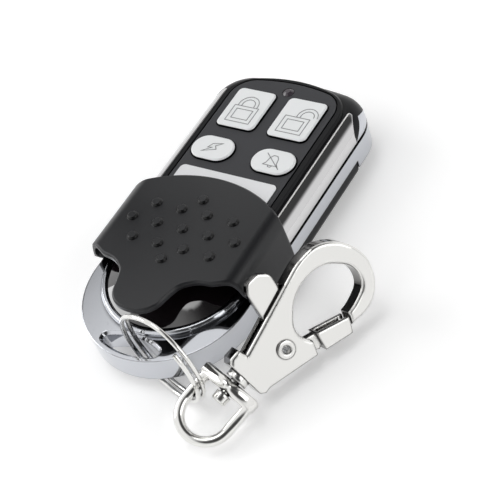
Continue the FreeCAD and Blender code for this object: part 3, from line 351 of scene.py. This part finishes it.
# Finish of each material slot
FINISHES = {
    "case_black": moulded_plastic("case_black", (0.005, 0.0053, 0.0065), (0.04, 0.04, 0.045), roughness=0.34,
                                  grain=0.00002, gloss=0.2),
    "panel_black": moulded_plastic("panel_black", (0.036, 0.037, 0.042), (0.07, 0.07, 0.075), roughness=0.5,
                                   grain=0.00003),
    "slider_black": moulded_plastic("slider_black", (0.012, 0.0125, 0.0145), (0.09, 0.09, 0.095), roughness=0.34,
                                    grain=0.00003, edge=0.0002, gloss=0.42, crown=SLIDER_CROWN),
    "dome_black": moulded_plastic("dome_gloss", (0.006, 0.004, 0.005), (0.01, 0.01, 0.01), roughness=0.04,
                                  grain=0.000002, edge=0.0001, coat=1.0, gloss=0.8),
    "lamp_red": moulded_plastic("lamp_tint", (0.05, 0.04, 0.05), (0.06, 0.06, 0.06), roughness=0.14,
                                grain=0.000003, edge=0.0001, coat=0.4),
    "frame_chrome": plated_metal("frame_chrome", (0.6, 0.615, 0.65), roughness=0.06, wave=0.00005, edge=0.0004,
                                 painted_edge_shade=0.7),
    "rail_chrome": plated_metal("rail_chrome", (0.62, 0.615, 0.62), roughness=0.07, wave=0.00004, edge=0.0003),
    "nickel": plated_metal("nickel", (0.8, 0.795, 0.775), roughness=0.07, wave=0.00005, edge=0.0007, painted_edge_shade=0.8),
    "screw_steel": plated_metal("screw_steel", (0.5, 0.5, 0.5), roughness=0.28, wave=0.00003, edge=0.0001),
    "spring_steel": plated_metal("spring_steel", (0.5, 0.5, 0.5), roughness=0.25, wave=0.00003, edge=0.0001),
    "key_silver": silver_coat("key_silver", (0.85, 0.865, 0.87), roughness=0.42, metallic=0.1),
    "trim_silver": silver_coat("trim_silver", (0.84, 0.845, 0.86), roughness=0.35, metallic=0.5),
    "board_green": inner_part("board_green", (0.02, 0.13, 0.05), roughness=0.35),
    "cell_jacket": inner_part("cell_jacket", (0.5, 0.4, 0.14), roughness=0.4, metallic=0.5),
    "resistor": inner_part("resistor_grey", (0.12, 0.11, 0.1), roughness=0.6),
    "chip_black": chip_black,
    "plunger_black": chip_black,
    "tin": tin,
    "contact_nickel": tin,
}

SLOTS = {subpart["node"]: subpart["material_slot"] for subpart in record["subparts"]}
BODIES = {node: body for body, names in record["behaviour"]["bodies"].items() for node in names}


def new_piece(name, mesh, body, finish):
    piece = bpy.data.objects.new(name, mesh)
    bpy.context.scene.collection.objects.link(piece)
    mesh.materials.clear()
    mesh.materials.append(finish)
    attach(piece, body)
    return piece


# Copy of a node with welded points, whole flat faces and smooth curves
def dress(name, smooth_angle=SMOOTH_ANGLE, flat_faces=True):
    shape = bmesh.new()
    shape.from_mesh(nodes[name].data)
    bmesh.ops.remove_doubles(shape, verts=shape.verts, dist=WELD)
    bmesh.ops.dissolve_limit(shape, angle_limit=FLAT_ANGLE, verts=shape.verts, edges=shape.edges)
    mesh = bpy.data.meshes.new(f"{name}_smooth")
    shape.to_mesh(mesh)
    shape.free()
    if "custom_normal" in mesh.attributes:
        mesh.attributes.remove(mesh.attributes["custom_normal"])
    mesh.shade_smooth()
    mesh.set_sharp_from_angle(angle=smooth_angle)
    piece = new_piece(f"{name}_smooth", mesh, BODIES[name], FINISHES[SLOTS[name]])
    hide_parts(name)
    if flat_faces:
        weights = piece.modifiers.new("flat_faces", "WEIGHTED_NORMAL")
        weights.weight = FLAT_FACE_WEIGHT
        weights.keep_sharp = True
    return mesh


# Second finish on the faces that a test picks, after any straight cuts through the mesh
def refinish(mesh, finish, picked, cuts=()):
    shape = bmesh.new()
    shape.from_mesh(mesh)
    for place, normal in cuts:
        parts = shape.verts[:] + shape.edges[:] + shape.faces[:]
        bmesh.ops.bisect_plane(shape, geom=parts, plane_co=place, plane_no=normal, dist=WELD)
    for face in shape.faces:
        if picked(face):
            face.material_index = 1
    shape.to_mesh(mesh)
    shape.free()
    mesh.materials.append(finish)


# Side walls of a key, which get painted shade
def key_side(face):
    return face.normal.z < KEY_SIDE_SLOPE


# Sides of a grip button, which get painted shade
def grip_side(face):
    return face.calc_center_median().z > GRIP_FOOT_Z and face.normal.z < GRIP_SLOPE


# Side walls of the clasp, which get painted shade
def clasp_side(face):
    return abs(face.normal.dot(CLASP_NORMAL)) < CLASP_SLOPE


def rail_edge(face):
    return face.calc_center_median().x < RAIL_EDGE_X


# The two cuts that bound the lip of the right (side 1) or left (side -1) corner, facing the lip
def lip_cuts(side):
    low, tip, high, heart = (Vector((side * x, y, z)) * MM for x, y, z in (*LIP_POINTS, LIP_HEART))
    return [(first, (second - first).cross(first - heart).normalized() * side)
            for first, second in ((low, tip), (tip, high))]


LIP_CUTS = {side: lip_cuts(side) for side in (1, -1)}


def corner_lip(face):
    middle = face.calc_center_median()
    side = 1 if middle.x > 0 else -1
    beyond = all(part > begin * MM for part, begin in zip((abs(middle.x), middle.y, middle.z), LIP_BEGIN))
    return beyond and all((middle - place).dot(normal) > 0 for place, normal in LIP_CUTS[side])


# Raised line with sloping sides along a row of points
def bead(shape, points, closed, top_z):
    flat = [Vector(point) for point in points]
    runs = [(after - before).normalized() for before, after in zip(flat, flat[1:])]
    if closed:
        runs.append((flat[0] - flat[-1]).normalized())
    rows = []
    for index, point in enumerate(flat):
        incoming = runs[index - 1] if closed or index else runs[0]
        outgoing = runs[min(index, len(runs) - 1)]
        mean = (incoming + outgoing).normalized()
        side = Vector((-mean.y, mean.x)) / max(SHARPEST_MITRE, mean.dot(outgoing))
        row = []
        for part, level in MARK_SECTION:
            place = point + side * MARK_WIDTH * part
            row.append(shape.verts.new((place.x * MM, place.y * MM, (top_z + level) * MM)))
        rows.append(row)
    pairs = list(zip(rows, rows[1:])) + ([(rows[-1], rows[0])] if closed else [])
    for first, second in pairs:
        for index in range(len(MARK_SECTION) - 1):
            shape.faces.new((first[index], first[index + 1], second[index + 1], second[index]))


# Half circle with a leg down to the padlock at the left, and when shut also at the right
def shackle(middle_x, radius, shut):
    arch = [(middle_x + radius * math.cos(math.radians(turn)), SHACKLE_Y + radius * math.sin(math.radians(turn)))
            for turn in range(0, 181, SHACKLE_STEP)]
    right = [(middle_x + radius, LOCK_TOP_Y)] if shut else []
    return right + arch + [(middle_x - radius, LOCK_TOP_Y)]


def padlock(shackle_x, shut):
    shackles = [(shackle(shackle_x, radius, shut), False) for radius in SHACKLE_RADII]
    return [(LOCK_OUTER, True), (LOCK_INNER, True)] + shackles


# Lines of each key's mark, and whether a line is closed
MARKS = {
    "key_lock": padlock(SHUT_SHACKLE_X, True),
    "key_unlock": padlock(OPEN_SHACKLE_X, False),
    "key_bolt": [(BOLT, True)],
    "key_mute": [(BELL, True), (BELL_CLAPPER, False), (BELL_BAR, False)],
}


def make_mark(key, lines):
    low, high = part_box(key)
    middle = (low + high) / 2 / MM
    shape = bmesh.new()
    for points, closed in lines:
        bead(shape, [(x + middle.x, y + middle.y) for x, y in points], closed, high.z / MM)
    bmesh.ops.recalc_face_normals(shape, faces=shape.faces)
    mesh = bpy.data.meshes.new(f"{key}_mark")
    shape.to_mesh(mesh)
    shape.free()
    new_piece(f"{key}_mark", mesh, BODIES[key], mark_painted_shade)


# Every node gets its slot's finish, and those that show are replaced by smooth copies
for node, slot in SLOTS.items():
    for material_slot in nodes[node].material_slots:
        material_slot.material = FINISHES[slot]

for node in ("rear_frame", "end_bezel", "key_panel", "trim_plate", "top_insert", "back_cover", "status_lamp",
             "swivel_post", "lever_rivet", "case_screws", "side_rail_left"):
    dress(node)
for node in ("split_ring", "swivel_eye"):
    dress(node, WIRE_ANGLE, flat_faces=False)
dress("end_dome", flat_faces=False)
refinish(dress("front_shell"), FINISHES["frame_chrome"], corner_lip, LIP_CUTS[1] + LIP_CUTS[-1])
# Painted highlight along the inner edge of the right rail
refinish(dress("side_rail_right"), painted_highlight_edge, rail_edge, [((RAIL_EDGE_X, 0, 0), (1, 0, 0))])
# Painted shade on the sides of the grip buttons
refinish(dress("slider_cover"), painted_shade_grip, grip_side)
for node in ("clasp_body", "clasp_lever"):
    # Painted shade on the side walls of the clasp
    refinish(dress(node), painted_shade_nickel, clasp_side)
for node, lines in MARKS.items():
    # Painted shade: the keys' side walls take the black case finish, standing in for their shadow
    refinish(dress(node), FINISHES["case_black"], key_side)
    make_mark(node, lines)


# Plain pale floor
def make_floor():
    corners = [(x * FLOOR_REACH, y * FLOOR_REACH, 0) for x, y in ((-1, -1), (1, -1), (1, 1), (-1, 1))]
    mesh = bpy.data.meshes.new("floor")
    mesh.from_pydata(corners, [], [(0, 1, 2, 3)])
    floor = bpy.data.objects.new("floor", mesh)
    bpy.context.scene.collection.objects.link(floor)
    material, tree = new_material("floor_white")
    tree.finish(Base_Color=FLOOR_COLOUR, Roughness=0.8, Emission_Color=WHITE, Emission_Strength=FLOOR_GLOW)
    mesh.materials.append(material)


def soft_box(name, place, power):
    data = bpy.data.lights.new(name, "AREA")
    data.shape = "RECTANGLE"
    data.size, data.size_y = SOFT_BOX
    data.energy = power
    lamp = bpy.data.objects.new(name, data)
    lamp.location = place
    lamp.rotation_euler = (-Vector(place)).to_track_quat("-Z", "Y").to_euler()
    bpy.context.scene.collection.objects.link(lamp)


# White room with dark patches and a small window, for contrast in the plating
def make_world():
    world = bpy.data.worlds.new("studio")
    tree = Tree(world, "Background")
    way = tree.coordinates("Generated")
    ceiling, front, back, window = (
        tree.dot(way, tuple(Vector(middle).normalized())).smooth(begin, full)
        for middle, begin, full in (CEILING_PATCH, FRONT_PATCH, BACK_PATCH, WINDOW))
    dark = ceiling + front * (1.0 - ceiling)
    dark = dark + back * (1.0 - dark)
    level = dark * (DARK_LEVEL - ROOM_LEVEL) + ROOM_LEVEL + window * WINDOW_LEVEL
    tree.finish(Color=WHITE, Strength=level)
    bpy.context.scene.world = world


def make_camera():
    right = Vector(CAMERA_RIGHT).normalized()
    down = Vector(CAMERA_DOWN)
    up = -(down - right * down.dot(right)).normalized()
    turn = Matrix((right, up, right.cross(up))).transposed().to_4x4()
    data = bpy.data.cameras.new("camera")
    data.sensor_fit = "VERTICAL"
    data.sensor_height = SENSOR
    data.lens = FOCAL_PIXELS * SENSOR / IMAGE_HEIGHT
    data.clip_start = CAMERA_NEAR
    camera = bpy.data.objects.new("camera", data)
    camera.matrix_world = Matrix.Translation(Vector(CAMERA_PLACE) * MM) @ turn
    bpy.context.scene.collection.objects.link(camera)
    bpy.context.scene.camera = camera


make_floor()
make_world()
soft_box("left_light", LEFT_BOX_PLACE, LEFT_BOX_POWER)
soft_box("right_light", RIGHT_BOX_PLACE, RIGHT_BOX_POWER)
make_camera()
bpy.context.scene.view_settings.view_transform = "Standard"
